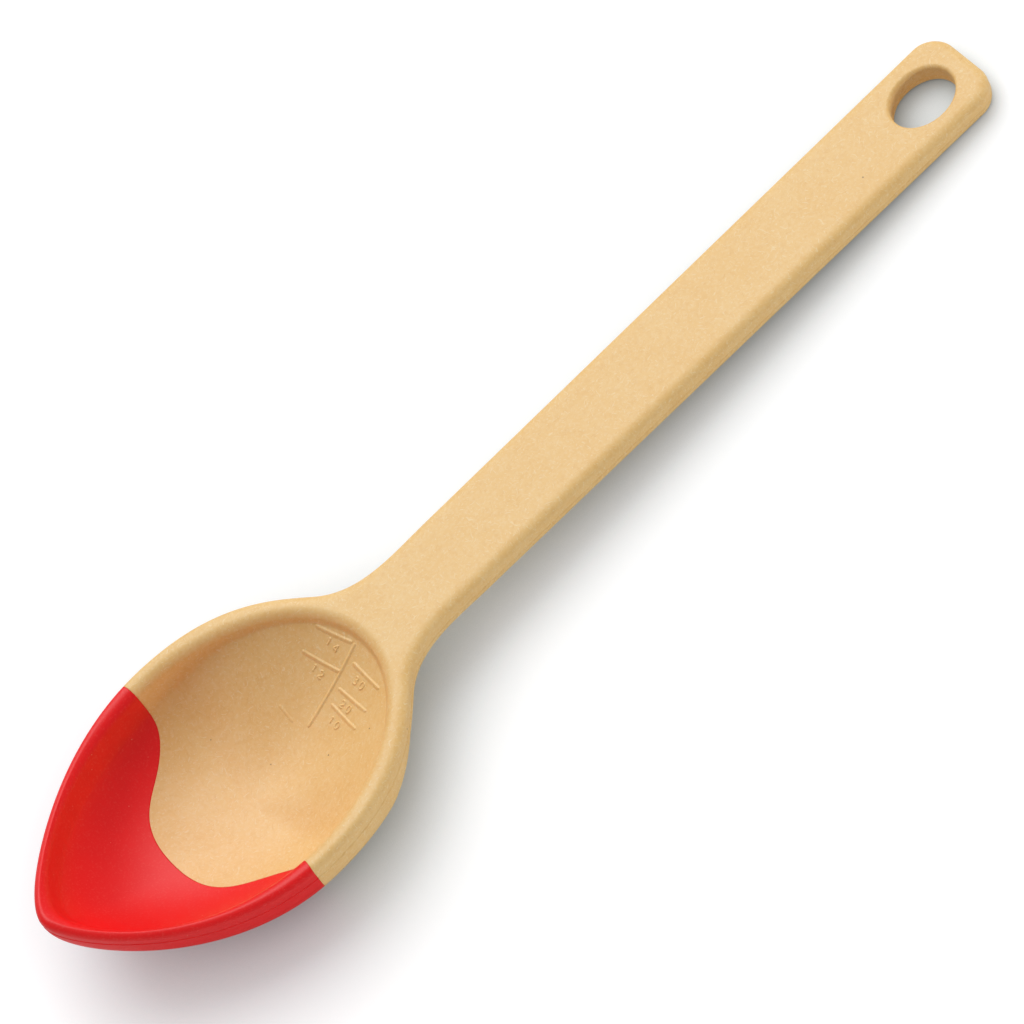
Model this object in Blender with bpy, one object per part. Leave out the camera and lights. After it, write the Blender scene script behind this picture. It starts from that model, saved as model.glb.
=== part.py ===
"""Large cooking spoon with a soft tip, modelled as its two real pieces.

spoon_body is the stiff moulding: handle, hanging hole, bowl, and the thin tongue that runs on
inside the tip. silicone_tip is moulded round that tongue and is held by plugs through its holes.

The spoon is laid out with the tip of its bowl at x = 0, its long axis along +X, and the flat top
of its handle at z = 0. An empty then carries it in the pose in which it lies on a table.
"""
import math

import bmesh
import bpy
from mathutils import Matrix, Vector

mm = 0.001

# Outline seen from above, from the tip of the bowl to the end of the handle
overall_length = 330 * mm
bowl_half_width = 39.7 * mm
widest_at = 62.8 * mm
tip_bluntness = 9.3 * mm
side_fullness = 34.8 * mm
centre_before_widest = 2.7 * mm
shoulder_reach = 26.6 * mm
neck_behind_widest = 46.5 * mm
neck_half_width = 19.5 * mm
neck_angle = math.radians(45.5)
neck_curve_in = 12.5 * mm
neck_curve_out = 12.8 * mm
handle_behind_neck = 33.8 * mm
handle_curve_in = 12 * mm
handle_half_width_front = 12.3 * mm
handle_half_width_end = 13 * mm
end_corner_radius = 7.5 * mm

# Handle and rim section
handle_thickness = 7.3 * mm
top_edge_radius = 2.0 * mm
bottom_edge_radius = 0.7 * mm
parting_line_depth = 5.1 * mm
rim_rise_early = 4.0 * mm
rim_rise_late = 5.2 * mm

# Hollow of the bowl
rim_width_side = 5.3 * mm
rim_width_tip = 5.2 * mm
hollow_back_behind_neck = 0.5 * mm
hollow_tip_bluntness = 10.5 * mm
hollow_side_fullness = 35.6 * mm
hollow_shoulder = 20.2 * mm
hollow_back_fullness = 21.5 * mm
hollow_depth = 20.6 * mm
hollow_side_power = 2.4
hollow_side_root = 2.1
hollow_side_growth = 1.02
hollow_ramp_starts = math.radians(106)
hollow_ramp_full = math.radians(157)
hollow_ramp_floor_share = 0.3
hollow_ramp_growth = 1.09
ramp_blend = 0.4
lip_radius = 3.3 * mm
wall_angle = math.radians(77)
wall_blend = 2.0 * mm

# Underside of the bowl
floor_wall = 3.6 * mm
belly_back_behind_hollow = 1.7 * mm
belly_shoulder = 35 * mm
belly_back_fullness = 23.5 * mm
belly_side_power = 2.6
belly_side_root = 2.6
belly_ramp_starts = math.radians(124.5)
belly_ramp_full = math.radians(160.5)
belly_ramp_floor_share = 0.55
belly_blend = 1.0 * mm

# Oval hanging hole
hole_from_end = 16.1 * mm
hole_half_length = 9.7 * mm
hole_half_width = 7.6 * mm
hole_top_radius = 1.1 * mm
hole_bottom_radius = 1.2 * mm
pad_before_hole = 5.5 * mm

# Joint between the body and the soft tip, seen from above
joint_before_widest = 4.6 * mm
joint_rim_slant = math.radians(12)
joint_rim_curve = 8.5 * mm
turn_before_rim_joint = 5 * mm
turn_from_edge = 14.6 * mm
turn_angle = math.radians(40)
turn_curve_in = 11 * mm
turn_curve_out = 6 * mm
lobe_before_turn = 17.7 * mm
lobe_roundness = 17 * mm

# Tongue of the body inside the tip
silicone_skin = 0.8 * mm
touching_gap = 0.3 * mm
tongue_edge_ratio = 0.9
tongue_root = 4 * mm
lock_hole_radius = 2.5 * mm
lock_hole_angles = (-52, -27, 0, 27, 52)
lock_hole_ratio = 0.77

# Looks
composite_colour = (0.84, 0.60, 0.33)
composite_roughness = 0.55
silicone_colour = (0.80, 0.02, 0.02)
silicone_roughness = 0.45

# Facets
tip_to_widest_steps = 22
widest_to_neck_steps = 12
neck_to_handle_steps = 7
straight_steps = 4
pad_steps = 3
corner_steps = 5
end_steps = 2
crossing_steps = 5
crossing_run_on = 8 * mm
round_steps = 3
lobe_steps = 12
rim_joint_steps = 8
ratio_steps = 48
lock_hole_sides = 20
hollow_ratios = (1.0, 0.97, 0.94, 0.9, 0.85, 0.78, 0.69, 0.58, 0.46, 0.32, 0.16)
belly_ratios = (0.95, 0.91, 0.86, 0.79, 0.7, 0.59, 0.46, 0.32, 0.16)
land_shares = (0.44, 0.75, 0.94)
belly_land_shares = (0.5, 0.8, 0.93)
slope_step = 0.05 * mm
weld_distance = 0.0001 * mm
settle_rounds = 20

# Places that follow from the sizes above
neck_at = widest_at + neck_behind_widest
handle_from = neck_at + handle_behind_neck
hollow_back = neck_at + hollow_back_behind_neck
centre = Vector((widest_at - centre_before_widest, 0))


def bezier(start, start_handle, end_handle, end, steps):
    """Points of a cubic curve, without its last one."""
    points = []
    for step in range(steps):
        t = step / steps
        s = 1 - t
        points.append(s**3 * start + 3 * s * s * t * start_handle + 3 * s * t * t * end_handle + t**3 * end)
    return points


def line(start, end, steps):
    return [start.lerp(end, step / steps) for step in range(steps)]


def arc(middle, radius, start_angle, end_angle, steps):
    points = []
    for step in range(steps):
        angle = start_angle + (end_angle - start_angle) * step / steps
        points.append(middle + radius * Vector((math.cos(angle), math.sin(angle))))
    return points


def smooth_max(a, b, blend):
    """The larger of two heights, with a round of the given reach where they cross."""
    overlap = max(blend - abs(a - b), 0)
    return max(a, b) + overlap * overlap / (4 * blend)


def half_outline():
    """Left half of the outline, from the tip to the middle of the handle's end."""
    tip = Vector((0, 0))
    widest = Vector((widest_at, bowl_half_width))
    neck = Vector((neck_at, neck_half_width))
    neck_way = Vector((math.cos(neck_angle), -math.sin(neck_angle)))
    handle = Vector((handle_from, handle_half_width_front))
    pad = pad_start()
    corner = Vector((overall_length - end_corner_radius, handle_half_width_end - end_corner_radius))
    end = Vector((overall_length, 0))
    points = bezier(
        tip,
        Vector((0, tip_bluntness)),
        widest - Vector((side_fullness, 0)),
        widest,
        tip_to_widest_steps,
    )
    points += bezier(
        widest,
        widest + Vector((shoulder_reach, 0)),
        neck - neck_curve_in * neck_way,
        neck,
        widest_to_neck_steps,
    )
    points += bezier(
        neck,
        neck + neck_curve_out * neck_way,
        handle - Vector((handle_curve_in, 0)),
        handle,
        neck_to_handle_steps,
    )
    points += line(handle, pad, straight_steps)
    points += line(pad, corner + Vector((0, end_corner_radius)), pad_steps)
    points += arc(corner, end_corner_radius, math.pi / 2, 0, corner_steps)
    points += line(corner + Vector((end_corner_radius, 0)), end, end_steps)
    return points + [end]


def pad_start():
    """Where the straight handle ends and the pad round the hanging hole begins."""
    at = overall_length - hole_from_end - hole_half_length - hole_top_radius - pad_before_hole
    share = (at - handle_from) / (overall_length - end_corner_radius - handle_from)
    return Vector((at, handle_half_width_front + share * (handle_half_width_end - handle_half_width_front)))


def inward(points):
    """Unit normals of a half outline, pointing into the spoon."""
    normals = []
    for index, point in enumerate(points):
        before = points[max(index - 1, 0)]
        after = points[min(index + 1, len(points) - 1)]
        way = (after - before).normalized()
        normals.append(Vector((way.y, -way.x)))
    normals[0] = Vector((1, 0))
    normals[-1] = Vector((-1, 0))
    return normals


def half_oval(front, half_width, back, bluntness, fullness, shoulder, back_fullness, back_steps):
    """Left half of an oval round the bowl's centre, from its front to its back."""
    widest = Vector((widest_at, half_width))
    points = bezier(
        Vector((front, 0)),
        Vector((front, bluntness)),
        widest - Vector((fullness, 0)),
        widest,
        tip_to_widest_steps,
    )
    points += bezier(
        widest,
        widest + Vector((shoulder, 0)),
        Vector((back, back_fullness)),
        Vector((back, 0)),
        back_steps,
    )
    return points + [Vector((back, 0))]


def hollow_oval(back_steps):
    return half_oval(
        rim_width_tip,
        bowl_half_width - rim_width_side,
        hollow_back,
        hollow_tip_bluntness,
        hollow_side_fullness,
        hollow_shoulder,
        hollow_back_fullness,
        back_steps,
    )


def belly_oval(back_steps):
    return half_oval(
        0,
        bowl_half_width,
        hollow_back + belly_back_behind_hollow,
        tip_bluntness,
        side_fullness,
        belly_shoulder,
        belly_back_fullness,
        back_steps,
    )


def polar(point):
    """Distance from the bowl's centre, and the angle from the direction of the tip."""
    offset = point - centre
    return offset.length, math.atan2(abs(offset.y), -offset.x)


class OvalRatio:
    """How far out a point lies: 0 at the bowl's centre, 1 on the oval."""

    def __init__(self, oval):
        pairs = sorted((angle, radius) for radius, angle in map(polar, oval))
        self.angles = [angle for angle, _ in pairs]
        self.radii = [radius for _, radius in pairs]

    def radius(self, angle):
        for index in range(1, len(self.angles)):
            if angle <= self.angles[index]:
                before = self.angles[index - 1]
                share = (angle - before) / max(self.angles[index] - before, 1e-9)
                return self.radii[index - 1] + max(share, 0) * (self.radii[index] - self.radii[index - 1])
        return self.radii[-1]

    def __call__(self, point):
        distance, angle = polar(point)
        return distance / self.radius(angle)


hollow_ratio = OvalRatio(hollow_oval(ratio_steps))
belly_ratio = OvalRatio(belly_oval(ratio_steps))


def rim_height(x):
    """Height of the rim, which rises from the bowl's widest place to its tip."""
    share = max(widest_at - x, 0) / widest_at
    return rim_rise_early * share**2 + rim_rise_late * share**3


def backness(point, ramp_starts, ramp_full):
    """0 at the bowl's front and sides, rising to 1 where the ramp up to the handle is full."""
    distance, angle = polar(point)
    if distance == 0:
        return 0
    turned = math.cos(ramp_starts) - math.cos(angle)
    share = min(max(turned / (math.cos(ramp_starts) - math.cos(ramp_full)), 0), 1)
    return share * share * (3 - 2 * share)


def side_profile(ratio, power, root):
    """Share of the full depth on a steep side that rounds into a flat floor."""
    return max(1 - ratio**power, 0) ** (1 / root)


def ramp_profile(ratio, floor_share):
    """Share of the full depth on the straight slope up to the handle."""
    slope = (ratio - floor_share) / (1 - floor_share)
    return 1 - smooth_max(0, slope, ramp_blend)


def wall_drop(inwards):
    """Drop over the round lip and down the steep wall, by the distance in from the hollow's edge."""
    lip_reach = lip_radius * math.sin(wall_angle)
    if inwards > 0:
        return lip_radius * (1 - math.cos(wall_angle)) + inwards * math.tan(wall_angle)
    on_lip = max(lip_reach + inwards, 0)
    return lip_radius - math.sqrt(lip_radius**2 - on_lip**2)


def top_height(point):
    distance, angle = polar(point)
    reach = hollow_ratio.radius(angle)
    ratio = min(distance / reach, 1)
    back = backness(point, hollow_ramp_starts, hollow_ramp_full)
    side = side_profile(ratio / hollow_side_growth, hollow_side_power, hollow_side_root)
    ramp = ramp_profile(ratio / hollow_ramp_growth, hollow_ramp_floor_share)
    bowl = hollow_depth * ((1 - back) * side + back * ramp)
    drop = -smooth_max(-wall_drop(reach - distance), -bowl, wall_blend)
    return rim_height(point.x) - max(drop, 0)


def bottom_height(point, inset):
    """Underside, where inset is the distance in from the outline."""
    belly_depth = hollow_depth + floor_wall - parting_line_depth
    ratio = belly_ratio(point)
    back = backness(point, belly_ramp_starts, belly_ramp_full)
    side = side_profile(ratio, belly_side_power, belly_side_root)
    ramp = max(ramp_profile(ratio, belly_ramp_floor_share), 0)
    belly = belly_depth * ((1 - back) * side + back * ramp)
    round_share = max(1 - inset / bottom_edge_radius, 0)
    edge = (handle_thickness - parting_line_depth) * math.sqrt(1 - round_share**2)
    return rim_height(point.x) - parting_line_depth - smooth_max(edge, belly, belly_blend)


def lift(point, height):
    return Vector((point.x, point.y, height))


def top_point(point):
    return lift(point, top_height(point))


def bottom_point(point):
    return lift(point, bottom_height(point, bottom_edge_radius))


def add_patch(mesh, rows):
    """Quads between rows of points that have the same number of points each."""
    grid = [[mesh.verts.new(point) for point in row] for row in rows]
    for near, far in zip(grid, grid[1:]):
        for index in range(len(near) - 1):
            mesh.faces.new((near[index], near[index + 1], far[index + 1], far[index]))


def edge_section(point, normal):
    """Points down the spoon's edge, from its flat top to its flat underside."""
    inner_top = point + normal * top_edge_radius
    height = top_height(inner_top)
    section = []
    for step in range(round_steps + 1):
        angle = math.pi / 2 * (1 - step / round_steps)
        inset = top_edge_radius * (1 - math.cos(angle))
        drop = top_edge_radius * (1 - math.sin(angle))
        section.append(lift(point + normal * inset, height - drop))
    section.append(lift(point, rim_height(point.x) - parting_line_depth))
    for step in range(round_steps + 1):
        angle = math.pi / 2 * step / round_steps
        inset = bottom_edge_radius * (1 - math.cos(angle))
        if step:
            inner = point + normal * inset
            section.append(lift(inner, bottom_height(inner, inset)))
    return section


def crossing(start, run_on):
    """Points across half of the handle, from just inside its edge to further back in the middle."""
    middle = Vector((start.x + run_on, 0))
    return line(start, middle, crossing_steps) + [middle]


def add_bowl(mesh, tops, bottoms, neck_row):
    """Hollow and belly, as rings that shrink from the rim to the bowl's centre."""
    top_ring = tops[:neck_row] + crossing(tops[neck_row], crossing_run_on)
    bottom_ring = bottoms[:neck_row] + crossing(bottoms[neck_row], crossing_run_on)
    oval = hollow_oval(len(top_ring) - 1 - tip_to_widest_steps)
    rows = [top_ring]
    for share in land_shares:
        rows.append([outer.lerp(inner, share) for outer, inner in zip(top_ring, oval)])
    for ratio in hollow_ratios:
        rows.append([centre.lerp(point, ratio) for point in oval])
    rows.append([centre] * len(oval))
    add_patch(mesh, [[top_point(point) for point in row] for row in rows])
    oval = belly_oval(len(bottom_ring) - 1 - tip_to_widest_steps)
    first_belly_ring = [centre.lerp(point, belly_ratios[0]) for point in oval]
    rows = [bottom_ring]
    for share in belly_land_shares:
        rows.append([outer.lerp(inner, share) for outer, inner in zip(bottom_ring, first_belly_ring)])
    for ratio in belly_ratios:
        rows.append([centre.lerp(point, ratio) for point in oval])
    rows.append([centre] * len(oval))
    add_patch(mesh, [[bottom_point(point) for point in row] for row in rows])


def add_handle(mesh, tops, bottoms, neck_row, pad_row):
    for edge, raised in ((tops, top_point), (bottoms, bottom_point)):
        rows = []
        for index in range(neck_row, pad_row + 1):
            left = max(1 - (index - neck_row) / neck_to_handle_steps, 0)
            rows.append(crossing(edge[index], crossing_run_on * left**2))
        add_patch(mesh, [[raised(point) for point in row] for row in rows])


def add_pad(mesh, tops, bottoms, pad_row):
    """End of the handle, with the oval hole and its rounded mouths."""
    top_ring = crossing(tops[pad_row], 0)[::-1] + tops[pad_row + 1 :]
    bottom_ring = crossing(bottoms[pad_row], 0)[::-1] + bottoms[pad_row + 1 :]
    middle = Vector((overall_length - hole_from_end, 0))
    ways = hole_ways(top_ring, middle)
    rows = [[top_point(point) for point in top_ring]]
    for step in range(round_steps + 1):
        angle = math.pi / 2 * step / round_steps
        flare = hole_top_radius * (1 - math.sin(angle))
        drop = hole_top_radius * (1 - math.cos(angle))
        rows.append(hole_row(middle, ways, flare, -drop))
    for step in range(round_steps + 1):
        angle = math.pi / 2 * step / round_steps
        flare = hole_bottom_radius * (1 - math.cos(angle))
        drop = hole_bottom_radius * (1 - math.sin(angle))
        rows.append(hole_row(middle, ways, flare, drop - handle_thickness))
    rows.append([bottom_point(point) for point in bottom_ring])
    add_patch(mesh, rows)


def hole_ways(ring, middle):
    """Even angles round the half hole, one for each point of the pad's ring."""
    count = len(ring) - 1
    return [math.pi * (1 - index / count) for index in range(count + 1)]


def hole_row(middle, ways, flare, height):
    row = []
    for way in ways:
        x = middle.x + (hole_half_length + flare) * math.cos(way)
        y = (hole_half_width + flare) * math.sin(way)
        row.append(Vector((x, y, height)))
    return row


def finish_mesh(name, mesh):
    """Adds the mirror half, welds the seams and makes an object of it."""
    half = [[vertex.co.copy() for vertex in face.verts] for face in mesh.faces]
    for corners in half:
        mirrored = [Vector((corner.x, -corner.y, corner.z)) for corner in reversed(corners)]
        mesh.faces.new([mesh.verts.new(corner) for corner in mirrored])
    bmesh.ops.remove_doubles(mesh, verts=mesh.verts, dist=weld_distance)
    return make_object(name, mesh)


def make_object(name, mesh):
    bmesh.ops.dissolve_degenerate(mesh, edges=mesh.edges, dist=weld_distance)
    bmesh.ops.recalc_face_normals(mesh, faces=mesh.faces)
    data = bpy.data.meshes.new(name)
    mesh.to_mesh(data)
    mesh.free()
    made = bpy.data.objects.new(name, data)
    bpy.context.collection.objects.link(made)
    return made


def build_spoon(name):
    """The whole outside of the spoon as one closed solid, before it is split at the joint."""
    outline = half_outline()
    normals = inward(outline)
    neck_row = tip_to_widest_steps + widest_to_neck_steps
    pad_row = neck_row + neck_to_handle_steps + straight_steps
    tops = [point + normal * top_edge_radius for point, normal in zip(outline, normals)]
    bottoms = [point + normal * bottom_edge_radius for point, normal in zip(outline, normals)]
    mesh = bmesh.new()
    add_patch(mesh, [edge_section(point, normal) for point, normal in zip(outline, normals)])
    add_bowl(mesh, tops, bottoms, neck_row)
    add_handle(mesh, tops, bottoms, neck_row, pad_row)
    add_pad(mesh, tops, bottoms, pad_row)
    return finish_mesh(name, mesh)


def half_joint_line():
    """Joint seen from above, from the middle of the bowl to past its edge."""
    rim = Vector((widest_at - joint_before_widest, bowl_half_width))
    turn = rim - Vector((turn_before_rim_joint, turn_from_edge))
    turn_way = Vector((math.cos(turn_angle), math.sin(turn_angle)))
    rim_way = Vector((math.sin(joint_rim_slant), -math.cos(joint_rim_slant)))
    front = Vector((turn.x - lobe_before_turn, 0))
    points = bezier(
        front,
        front + Vector((0, lobe_roundness)),
        turn - turn_curve_in * turn_way,
        turn,
        lobe_steps,
    )
    points += bezier(
        turn,
        turn + turn_curve_out * turn_way,
        rim + joint_rim_curve * rim_way,
        rim,
        rim_joint_steps,
    )
    return points + [rim, rim + Vector((0, bowl_half_width))]


def tip_zone(name, growth):
    """Upright block over the tip, whose back face is the joint line moved back by growth."""
    half = half_joint_line()
    moved = [point - normal * growth for point, normal in zip(half, inward_of_joint(half))]
    outline = [Vector((point.x, -point.y)) for point in reversed(moved[1:])] + moved
    reach = -widest_at
    outline += [Vector((reach, outline[-1].y)), Vector((reach, outline[0].y))]
    return upright_block(name, outline)


def inward_of_joint(points):
    """Unit normals of the joint line, pointing to the tip."""
    normals = []
    for index in range(len(points)):
        before = points[max(index - 1, 0)]
        after = points[min(index + 1, len(points) - 1)]
        way = (after - before).normalized()
        normals.append(Vector((-way.y, way.x)))
    normals[0] = Vector((-1, 0))
    return normals


def upright_block(name, outline):
    """Closed prism that runs past the spoon above and below."""
    reach = 2 * (hollow_depth + floor_wall)
    mesh = bmesh.new()
    face = mesh.faces.new([mesh.verts.new((point.x, point.y, -reach)) for point in outline])
    grown = bmesh.ops.extrude_face_region(mesh, geom=[face])["geom"]
    raised = [item for item in grown if isinstance(item, bmesh.types.BMVert)]
    bmesh.ops.translate(mesh, verts=raised, vec=(0, 0, 2 * reach))
    return make_helper(name, mesh)


def surface_normal(point):
    """Upward unit normal of the hollow."""
    across = Vector((0, slope_step))
    along = Vector((slope_step, 0))
    slope_x = (top_height(point + along) - top_height(point - along)) / (2 * slope_step)
    slope_y = (top_height(point + across) - top_height(point - across)) / (2 * slope_step)
    return Vector((-slope_x, -slope_y, 1)).normalized()


def hollow_shell(name, near, far, edge_ratio):
    """Shell that follows the hollow, between two depths under its surface."""
    oval = hollow_oval(widest_to_neck_steps)
    ratios = [edge_ratio] + [ratio for ratio in hollow_ratios if ratio < edge_ratio]
    plan = [[centre.lerp(point, ratio) for point in oval] for ratio in ratios] + [[centre] * len(oval)]
    sheets = []
    for depth in (near, far):
        sheets.append([[top_point(point) - depth * surface_normal(point) for point in row] for row in plan])
    mesh = bmesh.new()
    for row in sheets[0] + sheets[1]:
        row[0].y = 0
        row[-1].y = 0
    add_patch(mesh, sheets[0])
    add_patch(mesh, sheets[1])
    add_patch(mesh, [sheets[0][0], sheets[1][0]])
    return hide(finish_mesh(name, mesh))


def lock_pins(name, radius):
    """Upright pins where the tongue's locking holes are."""
    reach = 2 * (hollow_depth + floor_wall)
    mesh = bmesh.new()
    for degrees in lock_hole_angles:
        angle = math.radians(degrees)
        distance = lock_hole_ratio * hollow_ratio.radius(abs(angle))
        place = Matrix.Translation((centre.x - distance * math.cos(angle), distance * math.sin(angle), 0))
        bmesh.ops.create_cone(
            mesh,
            cap_ends=True,
            segments=lock_hole_sides,
            radius1=radius,
            radius2=radius,
            depth=2 * reach,
            matrix=place,
        )
    return make_helper(name, mesh)


def make_helper(name, mesh):
    return hide(make_object(name, mesh))


def hide(helper):
    helper.hide_render = True
    helper.display_type = "WIRE"
    return helper


def combine(target, operation, other):
    step = target.modifiers.new(f"{operation.lower()}_{other.name}", "BOOLEAN")
    step.operation = operation
    step.solver = "EXACT"
    step.object = other


def give_material(target, name, colour, roughness):
    material = bpy.data.materials.new(name)
    material.use_nodes = True
    shader = material.node_tree.nodes["Principled BSDF"]
    shader.inputs["Base Color"].default_value = (*colour, 1)
    shader.inputs["Roughness"].default_value = roughness
    shader.inputs["Metallic"].default_value = 0
    material.diffuse_color = (*colour, 1)
    target.data.materials.append(material)
    for face in target.data.polygons:
        face.use_smooth = True


def build_body():
    """Handle and bowl, cut back at the joint, with the holed tongue that the tip is moulded on."""
    tongue_top = silicone_skin + touching_gap
    tongue_bottom = floor_wall - silicone_skin - touching_gap
    tongue = hollow_shell("tongue_guide", tongue_top, tongue_bottom, tongue_edge_ratio)
    combine(tongue, "INTERSECT", tip_zone("tongue_zone", tongue_root))
    combine(tongue, "DIFFERENCE", lock_pins("lock_hole_cutter", lock_hole_radius))
    body = build_spoon("spoon_body")
    combine(body, "DIFFERENCE", tip_zone("body_cutter", touching_gap))
    combine(body, "UNION", tongue)
    give_material(body, "wood_fibre_composite", composite_colour, composite_roughness)
    return body


def build_tip():
    """Soft tip, hollow where the tongue runs, with a plug left standing in each locking hole."""
    gap_share = touching_gap / hollow_ratio.radius(math.pi / 2)
    pocket = hollow_shell(
        "pocket_guide",
        silicone_skin,
        floor_wall - silicone_skin,
        tongue_edge_ratio + gap_share,
    )
    combine(pocket, "DIFFERENCE", lock_pins("plug_guide", lock_hole_radius - touching_gap))
    tip = build_spoon("silicone_tip")
    combine(tip, "INTERSECT", tip_zone("tip_zone", 0))
    combine(tip, "DIFFERENCE", pocket)
    give_material(tip, "red_silicone", silicone_colour, silicone_roughness)
    return tip


def rest_matrix(spoon):
    """Tilts the spoon until its bowl and its handle's end touch the table, and centres it."""
    points = [vertex.co.copy() for vertex in spoon.data.vertices]
    tilt = 0
    for _ in range(settle_rounds):
        turn = Matrix.Rotation(tilt, 3, "Y")
        turned = [(turn @ point, point.x) for point in points]
        bowl_low = min((spot for spot, x in turned if x < handle_from), key=lambda spot: spot.z)
        end_low = min((spot for spot, x in turned if x >= handle_from), key=lambda spot: spot.z)
        tilt += math.atan2(end_low.z - bowl_low.z, end_low.x - bowl_low.x)
    turn = Matrix.Rotation(tilt, 4, "Y")
    spots = [turn @ point for point in points]
    low = min(spot.z for spot in spots)
    middle = (min(spot.x for spot in spots) + max(spot.x for spot in spots)) / 2
    return Matrix.Translation((-middle, 0, -low)) @ turn


def main():
    for old in list(bpy.data.objects):
        bpy.data.objects.remove(old)
    body = build_body()
    build_tip()
    table_pose = bpy.data.objects.new("table_pose", None)
    bpy.context.collection.objects.link(table_pose)
    table_pose.matrix_world = rest_matrix(body)
    for made in bpy.context.collection.objects:
        if made.type == "MESH":
            made.parent = table_pose
    bpy.context.view_layer.update()


main()
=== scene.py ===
import math

import bmesh
import bpy
import numpy as np
from mathutils import Matrix, Vector


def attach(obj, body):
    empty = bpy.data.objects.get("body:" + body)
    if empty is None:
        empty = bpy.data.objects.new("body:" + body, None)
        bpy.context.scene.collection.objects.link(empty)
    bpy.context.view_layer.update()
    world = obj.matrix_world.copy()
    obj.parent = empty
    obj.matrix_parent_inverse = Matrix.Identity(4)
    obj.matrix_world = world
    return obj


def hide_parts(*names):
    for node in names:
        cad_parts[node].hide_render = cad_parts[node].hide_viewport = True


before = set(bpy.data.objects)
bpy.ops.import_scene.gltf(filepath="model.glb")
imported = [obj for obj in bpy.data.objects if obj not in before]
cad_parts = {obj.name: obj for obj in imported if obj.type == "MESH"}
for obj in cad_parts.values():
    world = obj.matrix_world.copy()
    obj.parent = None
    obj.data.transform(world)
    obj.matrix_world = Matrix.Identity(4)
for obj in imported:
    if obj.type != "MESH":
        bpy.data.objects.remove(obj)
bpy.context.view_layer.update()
print("packed spoon loaded")

# All shapes below are in millimetres: tip of the bowl at x = 0, flat top of the handle at z = 0.
# restPose() then lays the finished meshes on the table and turns them into metres.
metresPerMm = 0.001

spoonShape = {
    "length": 330.0,
    "bowlHalfWidth": 39.7,
    "widestAt": 62.8,
    "centreBeforeWidest": 2.7,
    "tipBluntness": 9.3,
    "sideFullness": 34.8,
    "shoulderReach": 26.6,
    "neckBehindWidest": 46.5,
    "neckHalfWidth": 19.5,
    "neckAngle": math.radians(45.5),
    "neckCurveIn": 12.5,
    "neckCurveOut": 12.8,
    "handleBehindNeck": 33.8,
    "handleCurveIn": 12.0,
    "handleHalfWidthFront": 12.3,
    "handleHalfWidthEnd": 13.0,
    "endCornerRadius": 7.5,
    "thickness": 7.3,
    "topEdgeRadius": 2.0,
    "topEdgeReach": 3.2,
    "topEdgeWidens": (72.0, 118.0),
    "bottomEdgeRadius": 0.7,
    "partingDepth": 5.1,
    "rimRiseEarly": 4.0,
    "rimRiseLate": 5.2,
}
hollowShape = {
    "rimWidthSide": 5.3,
    "rimWidthTip": 5.2,
    "backBehindNeck": 0.5,
    "tipBluntness": 10.5,
    "sideFullness": 35.6,
    "shoulder": 20.2,
    "backFullness": 21.5,
    "depth": 20.6,
    "sidePower": 2.4,
    "sideRoot": 2.1,
    "bowlGrowth": 1.02,
    "lipRadius": 3.3,
    "wallAngle": math.radians(77),
    "wallBlend": 2.5,
    "rampGrowth": 1.09,
    "rampPower": 1.9,
    "rampStarts": math.radians(97),
    "rampFull": math.radians(161),
}
bellyShape = {
    "floorWall": 3.37,
    "backBehindHollow": 1.7,
    "shoulder": 35.0,
    "backFullness": 23.5,
    "sidePower": 2.6,
    "sideRoot": 2.6,
    "rampStarts": math.radians(124.5),
    "rampFull": math.radians(160.5),
    "rampFloorShare": 0.55,
    "rampBlend": 0.4,
    "edgeBlend": 1.0,
    "firstRing": 0.95,
    "ringPower": 1.4,
}
hangingHole = {
    "fromEnd": 16.1,
    "halfLength": 9.7,
    "halfWidth": 7.6,
    "topRadius": 1.1,
    "bottomRadius": 1.2,
    "padBefore": 5.5,
}
# the thin raised line that the mould leaves round the edge, with a crease above it, and the
# heights above that line at which the edge has rows
partingLine = {
    "proud": 0.07,
    "reach": 0.13,
    "crease": 0.17,
    "creaseAbove": 0.42,
    "creaseReach": 0.2,
    "rowsAbove": (1.0, 0.75, 0.6, 0.5, 0.42, 0.34, 0.25, 0.18, 0.11, 0.05, 0),
    "rowsBelow": (-0.11, -0.25, -0.5),
}
meshSteps = {
    "tipToWidest": 96,
    "widestToNeck": 64,
    "neckToHandle": 44,
    "straight": 44,
    "pad": 10,
    "corner": 14,
    "end": 8,
    "crossing": 30,
    "topRound": 12,
    "bottomRound": 12,
    "land": 16,
    "rings": 64,
    "bellyRings": 48,
    "padRows": 10,
    "holeRound": 9,
    "upperSide": 6,
    "ovalTable": 240,
}
weldMm = 0.0002
behindBowl = 8.0  # how much further back the bowl's last ring lies in the middle than at the neck's edge


def vec(*values):
    return np.array(values, float)


def curve(start, startPull, endPull, end, steps):
    t = np.linspace(0, 1, steps, endpoint=False)[:, None]
    s = 1 - t
    return s**3 * start + 3 * s * s * t * startPull + 3 * s * t * t * endPull + t**3 * end


def straight(start, end, steps):
    t = np.linspace(0, 1, steps, endpoint=False)[:, None]
    return start + t * (end - start)


# the larger of two heights, with a round of the given reach where they cross
def smoothMax(a, b, blend):
    overlap = np.maximum(blend - np.abs(a - b), 0)
    return np.maximum(a, b) + overlap * overlap / (4 * blend)


def neckAt():
    return spoonShape["widestAt"] + spoonShape["neckBehindWidest"]


def handleFrom():
    return neckAt() + spoonShape["handleBehindNeck"]


def holeMiddle():
    return spoonShape["length"] - hangingHole["fromEnd"]


# where the straight handle ends and the pad round the hanging hole begins
def padStart():
    s, h = spoonShape, hangingHole
    at = holeMiddle() - h["halfLength"] - h["topRadius"] - h["padBefore"]
    share = (at - handleFrom()) / (s["length"] - s["endCornerRadius"] - handleFrom())
    front, end = s["handleHalfWidthFront"], s["handleHalfWidthEnd"]
    return vec(at, front + share * (end - front))


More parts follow.
